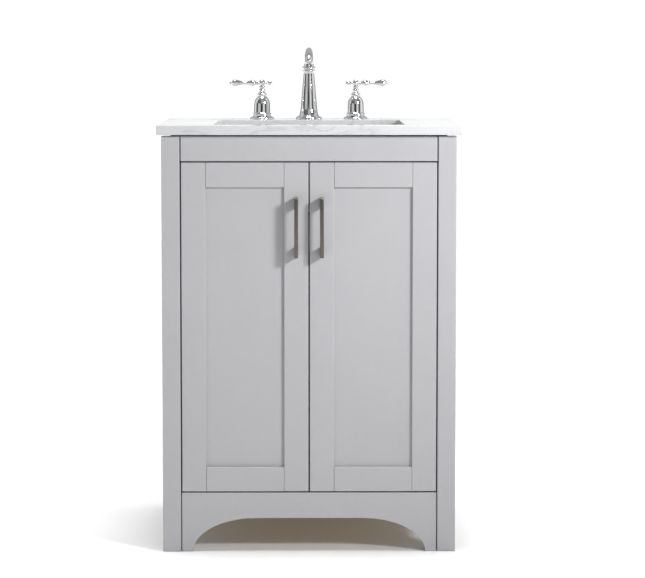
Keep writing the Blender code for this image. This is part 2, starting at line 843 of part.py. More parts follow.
def spout_arch():
    """The swivelling spout: a collar, a flared neck and a low arch over the basin."""
    profile = [
        (0, 124.0),
        (9.6, 124.0),
        (9.8, 121.0),
        (11.0, 117.0),
        (12.4, 113.4),
        (13.6, 112.4),
        (14.2, 110.4),
        (13.4, 108.4),
        (10.6, 107.5),
        (0, 107.5),
    ]
    points = [(radius * MM, height * MM) for radius, height in profile]
    collar = lathe("spout_arch", points, (0, FAUCET_Y, TOP_HEIGHT), CHROME)
    curve = bpy.data.curves.new("spout_arch_path", "CURVE")
    curve.dimensions = "3D"
    curve.bevel_depth = 10 * MM
    curve.bevel_resolution = 4
    curve.resolution_u = 8
    curve.use_fill_caps = True
    spline = curve.splines.new("BEZIER")
    spline.bezier_points.add(2)
    knots = [
        ((0, 0, 116), (0, 0, 100), (0, -1, 138)),
        ((0, -52, 145.5), (0, -26, 148), (0, -82, 142.5)),
        ((0, -114, 124.5), (0, -107, 138), (0, -118, 116)),
    ]
    for point, (at, before, after) in zip(spline.bezier_points, knots):
        point.co = Vector(at) * MM
        point.handle_left = Vector(before) * MM
        point.handle_right = Vector(after) * MM
    spline.bezier_points[1].radius = 0.94
    spline.bezier_points[2].radius = 0.84
    holder = bpy.data.objects.new("spout_arch_path", curve)
    CUTTERS.objects.link(holder)
    bpy.context.view_layer.update()
    graph = bpy.context.evaluated_depsgraph_get()
    mesh = bpy.data.meshes.new_from_object(holder.evaluated_get(graph))
    bpy.data.objects.remove(holder, do_unlink=True)
    weld(mesh)
    tube = place(mesh, "spout_arch_tube", None, (0, FAUCET_Y, TOP_HEIGHT), cutter=True)
    join(collar, tube)
    slant = (Vector((0, -118, 116)) - Vector((0, -114, 124.5))).normalized()
    tip = Vector((0, FAUCET_Y, TOP_HEIGHT)) + Vector((0, -114, 124.5)) * MM
    bore = cylinder("spout_arch_mouth", 6.6 * MM, tip - slant * 6 * MM, tip + slant * 6 * MM)
    cut(collar, bore)
    settle(collar, 40)
    aerator = cylinder("aerator", 6.3 * MM, tip - slant * 5.6 * MM, tip + slant * 0.8 * MM, CHROME, 20)
    soften(aerator, 0.4 * MM)
    settle(aerator)
    axis = pivot("spout_axis", (0, FAUCET_Y, TOP_HEIGHT))
    hang(axis, collar, aerator)


def handle_bell(word, x):
    """The fixed bell over the valve, open inside."""
    profile = [
        (5.6, 56.0),
        (7.6, 56.0),
        (9.8, 54.6),
        (10.3, 52.4),
        (9.4, 50.2),
        (9.6, 48.6),
        (13.0, 44.8),
        (15.6, 40.0),
        (16.8, 34.0),
        (17.3, 24.0),
        (17.5, 14.0),
        (18.2, 12.4),
        (19.6, 11.2),
        (19.8, 8.8),
        (19.2, 7.0),
        (22.0, 5.2),
        (25.6, 3.2),
        (26.0, 0.3),
        (13.4, 0.3),
        (13.4, 38.0),
        (5.6, 42.0),
    ]
    points = [(radius * MM, height * MM) for radius, height in profile]
    settle(lathe(f"{word}_handle_bell", points, (x, FAUCET_Y, TOP_HEIGHT), CHROME, steps=20, closed=True))


def valve_body(word, x):
    profile = [(0, 36.0), (9.0, 36.0), (12.6, 32.0), (12.6, -15.0), (11.0, -17.0), (11.0, -72.0), (0, -72.0)]
    points = [(radius * MM, height * MM) for radius, height in profile]
    settle(lathe(f"{word}_valve_body", points, (x, FAUCET_Y, TOP_HEIGHT), BRASS, steps=16))
    lock_nut(f"{word}_valve_lock_nut", x, 11.3 * MM)


def handle_hub(word, side, x):
    """The turning hub: a stem in the bell, two rings, the ball and the small rear finial."""
    profile = [
        (0, 85.4),
        (3.0, 84.8),
        (5.6, 82.8),
        (7.1, 79.8),
        (7.2, 76.4),
        (5.8, 73.2),
        (4.6, 71.8),
        (6.2, 70.6),
        (6.6, 69.0),
        (6.0, 67.4),
        (4.8, 66.0),
        (6.2, 64.2),
        (6.7, 62.2),
        (6.2, 60.2),
        (6.8, 58.0),
        (7.4, 56.5),
        (5.0, 56.5),
        (5.0, 38.0),
        (0, 38.0),
    ]
    points = [(radius * MM, height * MM) for radius, height in profile]
    hub = lathe(f"{word}_handle_hub", points, (x, FAUCET_Y, TOP_HEIGHT), CHROME, steps=16)
    finial = [(0, 22), (2.6, 21.2), (4.5, 19), (4.9, 17), (4.4, 14.6), (3, 12.6), (3, 2), (0, 2)]
    rear = lathe(
        f"{word}_finial",
        [(radius * MM, height * MM) for radius, height in finial],
        (x, FAUCET_Y, TOP_HEIGHT + LEVER_Z),
        steps=12,
    )
    rear.rotation_euler = (0, math.radians(-90 * side), 0)
    socket = cylinder(
        f"{word}_lever_socket",
        2.8 * MM,
        (x + side * 1.0 * MM, FAUCET_Y, TOP_HEIGHT + LEVER_Z),
        (x + side * 12 * MM, FAUCET_Y, TOP_HEIGHT + LEVER_Z),
        segments=12,
    )
    join(hub, rear)
    cut(hub, socket)
    return settle(hub)


def handle_lever(word, side, x):
    """The turned lever, pinned in the hub and pointing outwards."""
    profile = [
        (0, 71.0),
        (2.2, 70.6),
        (3.8, 69.0),
        (3.6, 67.2),
        (4.6, 65.6),
        (6.6, 63.0),
        (7.7, 60.0),
        (7.5, 57.0),
        (6.4, 53.0),
        (4.9, 47.5),
        (3.8, 42.5),
        (3.3, 37.5),
        (3.5, 33.0),
        (4.3, 28.5),
        (5.8, 24.0),
        (6.6, 20.5),
        (6.2, 17.2),
        (4.4, 14.2),
        (4.0, 12.6),
        (4.9, 11.4),
        (4.9, 9.6),
        (3.8, 8.0),
        (2.5, 8.0),
        (2.5, 2.0),
        (0, 2.0),
    ]
    points = [(radius * MM, height * MM) for radius, height in profile]
    lever = lathe(f"{word}_handle_lever", points, (x, FAUCET_Y, TOP_HEIGHT + LEVER_Z), CHROME, steps=16)
    lever.rotation_euler = (0, math.radians(90 * side), 0)
    return settle(lever)


def faucet_handle(word, side):
    x = side * HANDLE_X
    handle_bell(word, x)
    valve_body(word, x)
    axis = pivot(f"{word}_handle_axis", (x, FAUCET_Y, TOP_HEIGHT))
    hang(axis, handle_hub(word, side, x), handle_lever(word, side, x))


# ---------------------------------------------------------------- assembly


def main():
    corner_posts()
    side_panels()
    top_front_rail()
    valance()
    bottom_deck()
    back_panel()
    rear_nailing_rail()
    countertop()
    basin()
    drain()
    spout_base()
    spout_arch()
    for word, side in (("left", -1), ("right", 1)):
        hinges(word, side, door(word, side))
        faucet_handle(word, side)


main()
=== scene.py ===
import json
import math

import bmesh
import bpy
from mathutils import Matrix, Vector
from mathutils.geometry import interpolate_bezier


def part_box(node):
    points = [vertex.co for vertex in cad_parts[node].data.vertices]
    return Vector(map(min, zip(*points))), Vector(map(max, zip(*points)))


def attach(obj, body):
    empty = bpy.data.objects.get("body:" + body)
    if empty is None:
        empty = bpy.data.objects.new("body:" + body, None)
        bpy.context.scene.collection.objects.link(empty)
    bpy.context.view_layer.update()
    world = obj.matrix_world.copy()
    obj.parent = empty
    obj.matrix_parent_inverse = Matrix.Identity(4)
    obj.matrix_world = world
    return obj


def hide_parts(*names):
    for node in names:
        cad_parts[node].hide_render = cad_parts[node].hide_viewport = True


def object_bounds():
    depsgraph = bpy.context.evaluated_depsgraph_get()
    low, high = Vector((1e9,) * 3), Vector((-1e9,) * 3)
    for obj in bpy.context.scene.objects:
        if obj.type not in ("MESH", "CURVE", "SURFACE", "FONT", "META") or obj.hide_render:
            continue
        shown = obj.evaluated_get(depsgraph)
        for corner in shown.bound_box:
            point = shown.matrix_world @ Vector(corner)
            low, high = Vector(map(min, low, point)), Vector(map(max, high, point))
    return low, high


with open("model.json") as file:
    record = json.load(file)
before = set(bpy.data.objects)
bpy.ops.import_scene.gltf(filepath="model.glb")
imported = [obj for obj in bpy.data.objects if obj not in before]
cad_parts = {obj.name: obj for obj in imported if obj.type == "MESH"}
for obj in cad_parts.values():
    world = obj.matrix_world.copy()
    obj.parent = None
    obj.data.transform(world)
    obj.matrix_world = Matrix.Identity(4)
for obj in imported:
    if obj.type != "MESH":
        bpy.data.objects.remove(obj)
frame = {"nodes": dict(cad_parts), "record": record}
CAD_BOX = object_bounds()
NODES = frame["nodes"]
BODY_OF = {node: body for body, nodes in frame["record"]["behaviour"]["bodies"].items() for node in nodes}
SLOT_OF = {row["node"]: row["material_slot"] for row in frame["record"]["subparts"]}
SCENE = bpy.context.scene
MM = 0.001
# points of a profile that are closer than this are one point
TINY = 1e-7
# points of a cut plate that are closer than this are joined
MELT = 1e-6


# ---------------------------------------------------------------- material helpers


def fill_ramp(node, stops):
    """Sets a colour ramp; each stop is (position, grey level or colour)."""
    elements = node.color_ramp.elements
    while len(elements) < len(stops):
        elements.new(0.5)
    for element, (position, value) in zip(elements, stops):
        colour = (value,) * 3 if isinstance(value, (int, float)) else value
        element.position = position
        element.color = (*colour, 1.0)


class Shader:
    """A material's node tree, with short calls for the nodes that the finishes share."""

    def __init__(self, name):
        self.material = bpy.data.materials.new(name)
        self.material.use_nodes = True
        self.tree = self.material.node_tree
        self.main = self.tree.nodes["Principled BSDF"]
        self.place = self.add("ShaderNodeTexCoord").outputs["Object"]

    def add(self, kind, **values):
        """A new node with the given settings."""
        node = self.tree.nodes.new(kind)
        for key, value in values.items():
            setattr(node, key, value)
        return node

    def link(self, source, target):
        self.tree.links.new(source, target)

    def set(self, **values):
        """Values on the shader's own sockets, with underscores for the spaces in their names."""
        for key, value in values.items():
            self.main.inputs[key.replace("_", " ")].default_value = value

    def stretch(self, scale, turn=(0, 0, 0)):
        """The surface point, scaled and turned."""
        node = self.add("ShaderNodeMapping")
        node.inputs["Scale"].default_value = scale
        node.inputs["Rotation"].default_value = turn
        self.link(self.place, node.inputs["Vector"])
        return node.outputs["Vector"]

    def noise(self, scale, detail=3.0, rough=0.5, distort=0.0, at=None):
        """Noise from 0 to 1 at the surface point, or at the stretched point `at`."""
        node = self.add("ShaderNodeTexNoise")
        node.inputs["Scale"].default_value = scale
        node.inputs["Detail"].default_value = detail
        node.inputs["Roughness"].default_value = rough
        node.inputs["Distortion"].default_value = distort
        self.link(at or self.place, node.inputs["Vector"])
        return node.outputs["Fac"]

    def ramp(self, source, stops):
        """A colour ramp read at `source`."""
        node = self.add("ShaderNodeValToRGB")
        fill_ramp(node, stops)
        self.link(source, node.inputs["Fac"])
        return node.outputs["Color"]

    def span(self, source, low, high, from_low=0.0, from_high=1.0):
        """Takes the range from_low to from_high of `source` to the range low to high."""
        node = self.add("ShaderNodeMapRange")
        node.inputs["From Min"].default_value = from_low
        node.inputs["From Max"].default_value = from_high
        node.inputs["To Min"].default_value = low
        node.inputs["To Max"].default_value = high
        self.link(source, node.inputs["Value"])
        return node.outputs["Result"]

    def math(self, operation, first, second):
        """Arithmetic on two numbers or outputs."""
        node = self.add("ShaderNodeMath", operation=operation)
        for socket, value in zip(node.inputs, (first, second)):
            if isinstance(value, (int, float)):
                socket.default_value = value
            else:
                self.link(value, socket)
        return node.outputs["Value"]

    def mix(self, factor, first, second, blend="MIX"):
        """Blends two colours or outputs."""
        node = self.add("ShaderNodeMix", data_type="RGBA", blend_type=blend)
        for name, value in (("Factor", factor), ("A", first), ("B", second)):
            socket = next(s for s in node.inputs if s.name == name and s.enabled)
            if isinstance(value, (int, float)):
                socket.default_value = value
            elif isinstance(value, tuple):
                socket.default_value = (*value, 1.0)
            else:
                self.link(value, socket)
        return next(s for s in node.outputs if s.name == "Result" and s.enabled)

    def bump(self, *layers):
        """Stacks (height, strength, distance) layers onto the surface normal."""
        normal = None
        for height, strength, distance in layers:
            node = self.add("ShaderNodeBump")
            node.inputs["Strength"].default_value = strength
            node.inputs["Distance"].default_value = distance
            self.link(height, node.inputs["Height"])
            if normal is not None:
                self.link(normal, node.inputs["Normal"])
            normal = node.outputs["Normal"]
        self.link(normal, self.main.inputs["Normal"])


# ---------------------------------------------------------------- finishes


def grey_paint():
    """Satin sprayed paint: faint clouding, a fine orange peel and a soft clear sheen."""
    s = Shader("satin_grey_paint")
    cloud = s.noise(7.0, 4.0, 0.6)
    fine = s.noise(90.0, 2.0)
    tone = s.mix(s.span(cloud, 0.0, 1.0, 0.3, 0.7), (0.420, 0.420, 0.437), (0.434, 0.434, 0.451))
    speck = s.ramp(fine, [(0.35, 0.985), (0.65, 1.0)])
    s.link(s.mix(1.0, tone, speck, "MULTIPLY"), s.main.inputs["Base Color"])
    s.link(s.span(cloud, 0.36, 0.44), s.main.inputs["Roughness"])
    peel = s.noise(900.0, 1.0)
    wave = s.noise(55.0, 2.0)
    s.bump((peel, 0.10, 0.0002), (wave, 0.05, 0.0006))
    s.set(Coat_Weight=0.12, Coat_Roughness=0.25)
    return s.material


def plywood():
    """Clear-coated birch: long warm grain, pores and a little shade between veneers."""
    s = Shader("birch_plywood")
    along = s.stretch((1.6, 14.0, 14.0))
    grain = s.noise(5.0, 6.0, 0.62, 1.4, at=along)
    tone = s.ramp(grain, [(0.25, (0.47, 0.35, 0.22)), (0.5, (0.60, 0.47, 0.32)), (0.78, (0.67, 0.55, 0.40))])
    pores = s.noise(40.0, 3.0, 0.7, 0.4, at=s.stretch((2.0, 40.0, 40.0)))
    shade = s.ramp(pores, [(0.38, 0.78), (0.5, 1.0)])
    s.link(s.mix(0.5, tone, shade, "MULTIPLY"), s.main.inputs["Base Color"])
    s.link(s.span(grain, 0.40, 0.55), s.main.inputs["Roughness"])
    s.bump((pores, 0.15, 0.0003))
    return s.material


def quartz():
    """Polished white stone with thin warped grey veins and a fine grain."""
    s = Shader("white_quartz")
    warp = s.noise(2.2, 6.0, 0.6)
    tilt = s.stretch((1.0, 1.6, 2.2), (0.3, 0.2, 0.7))
    vein = s.noise(4.5, 8.0, 0.55, 1.6, at=tilt)
    line = s.math("ABSOLUTE", s.math("SUBTRACT", vein, 0.5), 0.0)
    thin = s.ramp(line, [(0.0, 0.75), (0.012, 0.90), (0.05, 1.0)])
    soft = s.ramp(warp, [(0.30, 0.955), (0.62, 1.0)])
    grain = s.ramp(s.noise(700.0, 2.0), [(0.30, 0.975), (0.6, 1.0)])
    tone = s.mix(1.0, (0.590, 0.594, 0.601), s.mix(0.75, (1.0, 1.0, 1.0), thin), "MULTIPLY")
    tone = s.mix(1.0, tone, soft, "MULTIPLY")
    s.link(s.mix(1.0, tone, grain, "MULTIPLY"), s.main.inputs["Base Color"])
    s.link(s.span(warp, 0.10, 0.17), s.main.inputs["Roughness"])
    s.bump((s.noise(160.0, 2.0), 0.03, 0.0003))
    s.set(Coat_Weight=0.04, Coat_Roughness=0.05, Specular_IOR_Level=0.15)
    return s.material


def glaze():
    """Vitreous white glaze, slightly uneven over the clay."""
    s = Shader("basin_glaze")
    pool = s.noise(9.0, 3.0)
    tone = s.ramp(pool, [(0.3, (0.66, 0.665, 0.66)), (0.7, (0.70, 0.70, 0.695))])
    s.link(tone, s.main.inputs["Base Color"])
    s.link(s.span(pool, 0.06, 0.12), s.main.inputs["Roughness"])
    s.bump((s.noise(30.0, 2.0), 0.05, 0.001))
    s.set(Coat_Weight=0.6, Coat_Roughness=0.04)
    return s.material


def chrome():
    """Polished plating with faint wipe marks."""
    s = Shader("polished_chrome")
    smear = s.noise(60.0, 4.0, 0.6, 0.6)
    tone = s.ramp(smear, [(0.3, (0.84, 0.845, 0.86)), (0.7, (0.89, 0.892, 0.90))])
    s.link(tone, s.main.inputs["Base Color"])
    s.link(s.span(smear, 0.03, 0.075), s.main.inputs["Roughness"])
    s.bump((s.noise(220.0, 2.0), 0.02, 0.0002))
    s.set(Metallic=1.0)
    return s.material


def brushed_nickel():
    """Warm dark nickel with fine lines along the bar."""
    s = Shader("brushed_nickel")
    lines = s.noise(60.0, 5.0, 0.7, at=s.stretch((34.0, 34.0, 0.8)))
    tone = s.ramp(lines, [(0.3, (0.12, 0.103, 0.088)), (0.7, (0.22, 0.198, 0.172))])
    s.link(tone, s.main.inputs["Base Color"])
    s.link(s.span(lines, 0.24, 0.36), s.main.inputs["Roughness"])
    s.bump((lines, 0.18, 0.0002))
    s.set(Metallic=1.0, Anisotropic=0.4)
    return s.material


def plated_steel():
    """Pressed steel with a dull plating and rolling marks."""
    s = Shader("plated_steel")
    roll = s.noise(80.0, 4.0, 0.65, at=s.stretch((1.0, 1.0, 9.0)))
    tone = s.ramp(roll, [(0.3, (0.55, 0.55, 0.56)), (0.7, (0.68, 0.68, 0.69))])
    s.link(tone, s.main.inputs["Base Color"])
    s.link(s.span(roll, 0.22, 0.36), s.main.inputs["Roughness"])
    s.bump((roll, 0.08, 0.0002))
    s.set(Metallic=1.0)
    return s.material


def brass():
    """Rough cast brass."""
    s = Shader("valve_brass")
    cast = s.noise(120.0, 4.0, 0.6)
    tone = s.ramp(cast, [(0.3, (0.62, 0.47, 0.22)), (0.7, (0.74, 0.59, 0.31))])
    s.link(tone, s.main.inputs["Base Color"])
    s.link(s.span(cast, 0.28, 0.42), s.main.inputs["Roughness"])
    s.bump((cast, 0.12, 0.0003))
    s.set(Metallic=1.0)
    return s.material


def floor_finish():
    """A matt white floor with the faintest clouding."""
    s = Shader("pale_floor")
    wide = s.noise(1.5, 3.0)
    s.link(s.ramp(wide, [(0.3, 0.955), (0.7, 0.965)]), s.main.inputs["Base Color"])
    s.set(Roughness=0.9, Specular_IOR_Level=0.1)
    return s.material


FINISHES = {
    "grey_paint": grey_paint(),
    "cabinet_interior": plywood(),
    "white_quartz": quartz(),
    "basin_ceramic": glaze(),
    "chrome": chrome(),
    "brushed_nickel": brushed_nickel(),
    "hinge_steel": plated_steel(),
    "valve_brass": brass(),
}


# ---------------------------------------------------------------- shapes in mesh code


def piece(name, shape, like, sharp=35.0):
    """Makes `shape` stand for CAD node `like`, on its body and in its finish; `sharp` is in degrees."""
    bmesh.ops.recalc_face_normals(shape, faces=shape.faces)
    limit = math.radians(sharp)
    for face in shape.faces:
        face.smooth = True
    for edge in shape.edges:
        edge.smooth = len(edge.link_faces) == 2 and edge.calc_face_angle(0.0) < limit
    mesh = bpy.data.meshes.new(name)
    shape.to_mesh(mesh)
    shape.free()
    mesh.materials.append(FINISHES[SLOT_OF[like]])
    made = bpy.data.objects.new(name, mesh)
    SCENE.collection.objects.link(made)
    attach(made, BODY_OF[like])
    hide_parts(like)


def flowing(points, steps=5):
    """A smooth line through the points, with its ends kept."""
    points = [Vector(point) for point in points]
    if len(points) < 3:
        return points
    gaps = [max(math.sqrt((b - a).length), 1e-9) for a, b in zip(points, points[1:])]
    slopes = [(b - a) / gap for a, b, gap in zip(points, points[1:], gaps)]
    tangents = [slopes[0]]
    for i in range(1, len(points) - 1):
        share = gaps[i - 1] / (gaps[i - 1] + gaps[i])
        tangents.append(slopes[i - 1] * (1 - share) + slopes[i] * share)
    tangents.append(slopes[-1])
    line = []
    for i, gap in enumerate(gaps):
        for k in range(steps):
            t = k / steps
            start = (2 * t**3 - 3 * t**2 + 1) * points[i] + (t**3 - 2 * t**2 + t) * gap * tangents[i]
            end = (3 * t**2 - 2 * t**3) * points[i + 1] + (t**3 - t**2) * gap * tangents[i + 1]
            line.append(start + end)
    return line + [points[-1]]


def profile_of(runs):
    """Joins runs of (radius, height) in millimetres; each run flows, and a corner stands between two."""
    profile = []
    for run in runs:
        for point in flowing(run):
            spot = (max(point.x, 0.0) * MM, point.y * MM)
            if not profile or (Vector(spot) - Vector(profile[-1])).length > TINY:
                profile.append(spot)
    return profile


def turned(shape, runs, place, closed=False, steps=72):
    """A lathe-turned form about the local Z axis of `place`."""
    circle = [(math.cos(2 * math.pi * i / steps), math.sin(2 * math.pi * i / steps)) for i in range(steps)]
    rings = []
    for radius, height in profile_of(runs):
        around = circle if radius > TINY else [(0.0, 0.0)]
        rings.append([shape.verts.new(place @ Vector((radius * x, radius * y, height))) for x, y in around])
    pairs = list(zip(rings, rings[1:]))
    if closed:
        pairs.append((rings[-1], rings[0]))
    for low, high in pairs:
        skin(shape, low, high)


def skin(shape, low, high):
    """Faces between two rings of points, or between a ring and one point."""
    count = max(len(low), len(high))
    if count == 1:
        return
    for i in range(count):
        j = (i + 1) % count
        corners = [low[i % len(low)], low[j % len(low)], high[j % len(high)], high[i % len(high)]]
        shape.faces.new(list(dict.fromkeys(corners)))


def rounded_ring(half_x, half_y, corner, steps=8):
    """Points round a rectangle with rounded corners; a circle when the three sizes are equal."""
    points = []
    for quarter, (sx, sy) in enumerate(((1, 1), (-1, 1), (-1, -1), (1, -1))):
        for i in range(steps + 1):
            angle = math.pi / 2 * (quarter + i / steps)
            x = sx * (half_x - corner) + corner * math.cos(angle)
            y = sy * (half_y - corner) + corner * math.sin(angle)
            points.append((x, y))
    return points


def slab(name, outlines, thick, edge, place, like):
    """A plate cut from flat outlines, the first outside and the others holes, with rounded edges."""
    curve = bpy.data.curves.new(name, "CURVE")
    curve.dimensions = "2D"
    curve.fill_mode = "BOTH"
    curve.extrude = thick / 2 - edge
    curve.bevel_depth = edge
    curve.bevel_resolution = 3
    curve.offset = -edge
    for number, outline in enumerate(outlines):
        spline = curve.splines.new("POLY")
        spline.points.add(len(outline) - 1)
        ordered = outline if number == 0 else outline[::-1]
        for point, (x, y) in zip(spline.points, ordered):
            point.co = (x, y, 0.0, 1.0)
        spline.use_cyclic_u = True
    holder = bpy.data.objects.new(name, curve)
    SCENE.collection.objects.link(holder)
    bpy.context.view_layer.update()
    mesh = bpy.data.meshes.new_from_object(holder.evaluated_get(bpy.context.evaluated_depsgraph_get()))
    bpy.data.objects.remove(holder, do_unlink=True)
    shape = bmesh.new()
    shape.from_mesh(mesh)
    bpy.data.meshes.remove(mesh)
    bmesh.ops.remove_doubles(shape, verts=shape.verts, dist=MELT)
    bmesh.ops.transform(shape, matrix=place, verts=shape.verts)
    piece(name, shape, like)


def middle(node):
    """The centre of a CAD node's box."""
    low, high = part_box(node)
    return (low + high) / 2


# ---------------------------------------------------------------- stone top, basin and drain

STONE_LOW, STONE_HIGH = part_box("countertop")
STONE_CORNER = 1.5 * MM
STONE_EDGE = 1.1 * MM
BASIN_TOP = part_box("basin")[1].z
BASIN_AT = middle("basin")
MOUTH_X = 194 * MM
MOUTH_Y = 147.5 * MM
MOUTH_CORNER = 10 * MM
FAUCET_Y = middle("spout_base").y
FAUCET_HOLE = 17 * MM
BELL_X = middle("right_handle_bell").x


def stone_top():
    """The slab with the basin's mouth and three faucet holes."""
    centre = middle("countertop")
    half = (STONE_HIGH - STONE_LOW) / 2
    outer = rounded_ring(half.x, half.y, STONE_CORNER, 4)
    mouth = rounded_ring(MOUTH_X, MOUTH_Y, MOUTH_CORNER, 10)
    hole = rounded_ring(FAUCET_HOLE, FAUCET_HOLE, FAUCET_HOLE)
    outlines = [outer, [(x, y + BASIN_AT.y - centre.y) for x, y in mouth]]
    for at in (-BELL_X, 0.0, BELL_X):
        outlines.append([(x + at, y + FAUCET_Y - centre.y) for x, y in hole])
    thick = STONE_HIGH.z - STONE_LOW.z
    slab("stone_top", outlines, thick, STONE_EDGE, Matrix.Translation(centre), "countertop")


def bowl():
    """The undermount bowl as one skin of rings: rim, inside, drain hole, outside."""
    depth, taper, floor_thick = 130.0, 23.0, 10.0
    inner_fillet, outer_fillet = 10.0, 18.0
    wall_steps, fillet_steps = 8, 6
    # each ring is (half width, half depth, corner radius, height under the rim) in millimetres
    rings = [(209.0, 162.5, 20.0, -12.0), (209.0, 162.5, 20.0, -0.8), (208.2, 161.7, 19.2, 0.0)]
    rings += [(197.5, 151.0, 11.5, 0.0), (196.4, 149.9, 10.4, -0.5), (196.0, 149.5, 10.0, -1.6)]
    for i in range(1, wall_steps + 1):
        down = (depth - inner_fillet) * i / wall_steps
        inset = taper * down / depth
        rings.append((196.0 - inset, 149.5 - inset, 10.0, -down))
    wall_x, wall_y, _, wall_z = rings[-1]
    for i in range(1, fillet_steps + 1):
        angle = math.pi / 2 * i / fillet_steps
        inset = inner_fillet * (1 - math.cos(angle)) + 1.2 * math.sin(angle)
        drop = inner_fillet * math.sin(angle)
        rings.append((wall_x - inset, wall_y - inset, max(10.0 - 0.8 * inset, 1.0), wall_z - drop))
    rings += [(24.0, 24.0, 24.0, -depth), (22.5, 22.5, 22.5, -depth - 1.2)]
    rings.append((22.5, 22.5, 22.5, -depth - floor_thick))
    rings.append((163.5, 117.0, 2.0, -depth - floor_thick))
    for i in range(1, fillet_steps + 1):
        angle = math.pi / 2 * i / fillet_steps
        out = outer_fillet * math.sin(angle)
        rise = outer_fillet * (1 - math.cos(angle))
        corner = 2.0 + 16.0 * math.sin(angle)
        rings.append((163.5 + out, 117.0 + out, corner, -depth - floor_thick + rise))
    rings.append((201.5, 155.0, 18.0, -12.0))
    shape = bmesh.new()
    made = []
    for half_x, half_y, corner, height in rings:
        ring = rounded_ring(half_x * MM, half_y * MM, corner * MM)
        made.append([shape.verts.new((x, y + BASIN_AT.y, BASIN_TOP + height * MM)) for x, y in ring])
    for low, high in zip(made, made[1:] + made[:1]):
        skin(shape, low, high)
    piece("bowl", shape, "basin", sharp=50)


def drain_body():
    """The flanged tube that hangs in the basin's hole."""
    low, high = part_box("drain_flange")
    centre = middle("drain_flange")
    lip = (high.z - low.z) / MM - 3.2
    runs = [
        [(17.0, lip + 2.2), (19.0, lip + 2.7), (22.0, lip + 3.2), (26.0, lip + 2.9), (29.0, lip + 2.0)],
        [(29.0, lip + 2.0), (30.0, lip + 0.9), (30.0, lip + 0.3)],
        [(30.0, lip + 0.3), (21.0, lip + 0.3)],
        [(21.0, lip + 0.3), (21.0, 84.0)],
        [(21.0, 84.0), (17.5, 80.0)],
        [(17.5, 80.0), (15.9, 0.0)],
        [(15.9, 0.0), (14.6, 0.0)],
        [(14.6, 0.0), (14.6, 82.0)],
        [(14.6, 82.0), (17.0, 86.0)],
        [(17.0, 86.0), (17.0, lip + 2.2)],
    ]
    shape = bmesh.new()
    turned(shape, runs, Matrix.Translation((centre.x, centre.y, low.z)), closed=True)
    piece("drain_body", shape, "drain_flange", sharp=40)


def stopper():
    """The cap with two crossed fins under it."""
    centre = middle("drain_flange")
    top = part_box("drain_stopper")[1].z
    cap = [
        [(0.0, 0.0), (8.0, -0.3), (16.0, -1.2), (22.0, -2.6), (23.0, -3.6), (22.4, -5.0)],
        [(22.4, -5.0), (0.0, -5.0)],
    ]
    shape = bmesh.new()
    turned(shape, cap, Matrix.Translation((centre.x, centre.y, top)))
    long, thin, corner = 15.0, 1.2, 0.6
    for half_x, half_y in ((long, thin), (thin, long)):
        fin = []
        for inset, height in ((1.0, -39.0), (0.0, -37.0), (0.0, -5.0)):
            ring = rounded_ring((half_x - inset) * MM, (half_y - 0.4 * inset) * MM, corner * MM, 3)
            fin.append([shape.verts.new((centre.x + x, centre.y + y, top + height * MM)) for x, y in ring])
        for low, high in zip(fin, fin[1:]):
            skin(shape, low, high)
        shape.faces.new(fin[0])
        shape.faces.new(fin[-1])
    piece("stopper", shape, "drain_stopper")


stone_top()
bowl()
drain_body()
stopper()


# ---------------------------------------------------------------- faucet


LEVER_HEIGHT = middle("right_handle_lever").z - STONE_HIGH.z
# the centre of the spout's opening in millimetres from the column's foot, and the way it points
SPOUT_TIP = (0.0, -114.0, 124.5)
TIP_AIM = (0.0, -4.0, -8.5)


def on_stone(x):
    """A place on the stone in line with the faucet holes."""
    return Matrix.Translation((x, FAUCET_Y, STONE_HIGH.z))


def spout_column():
    """The tapered column with its foot, top bead and shank."""
    runs = [
        [(0.0, 107.0), (10.5, 107.0)],
        [(10.5, 107.0), (12.4, 106.9), (13.7, 106.2), (14.3, 104.6), (13.7, 103.0), (12.4, 102.2)],
        [(12.4, 102.2), (11.8, 101.4), (11.5, 99.0), (12.6, 84.0), (14.4, 64.0), (16.2, 42.0), (17.4, 28.0)]
        + [(18.8, 16.0), (20.6, 9.6), (22.2, 7.2)],
        [(22.2, 7.2), (23.2, 6.9), (23.6, 6.2), (25.5, 5.3), (27.7, 3.8), (28.5, 2.2), (28.5, 0.3)],
        [(28.5, 0.3), (13.0, 0.3)],
        [(13.0, 0.3), (13.0, -70.0)],
        [(13.0, -70.0), (0.0, -70.0)],
    ]
    shape = bmesh.new()
    turned(shape, runs, on_stone(0.0), steps=96)
    piece("spout_column", shape, "spout_base")


def spout_line(steps=26):
    """Points of the arch with the tube's radius at each, in millimetres from the column's foot."""
    bends = [
        ((0, 0, 116), (0, -1, 138), (0, -26, 148), (0, -52, 145.5), 9.95, 9.35),
        ((0, -52, 145.5), (0, -82, 142.5), (0, -107, 138), SPOUT_TIP, 9.35, 8.4),
    ]
    path = []
    for start, leave, arrive, end, wide, narrow in bends:
        points = interpolate_bezier(Vector(start), Vector(leave), Vector(arrive), Vector(end), steps)
        kept = points if end == SPOUT_TIP else points[:-1]
        for i, point in enumerate(kept):
            share = i / (steps - 1)
            share = share * share * (3 - 2 * share)
            path.append((point, wide + (narrow - wide) * share))
    return path


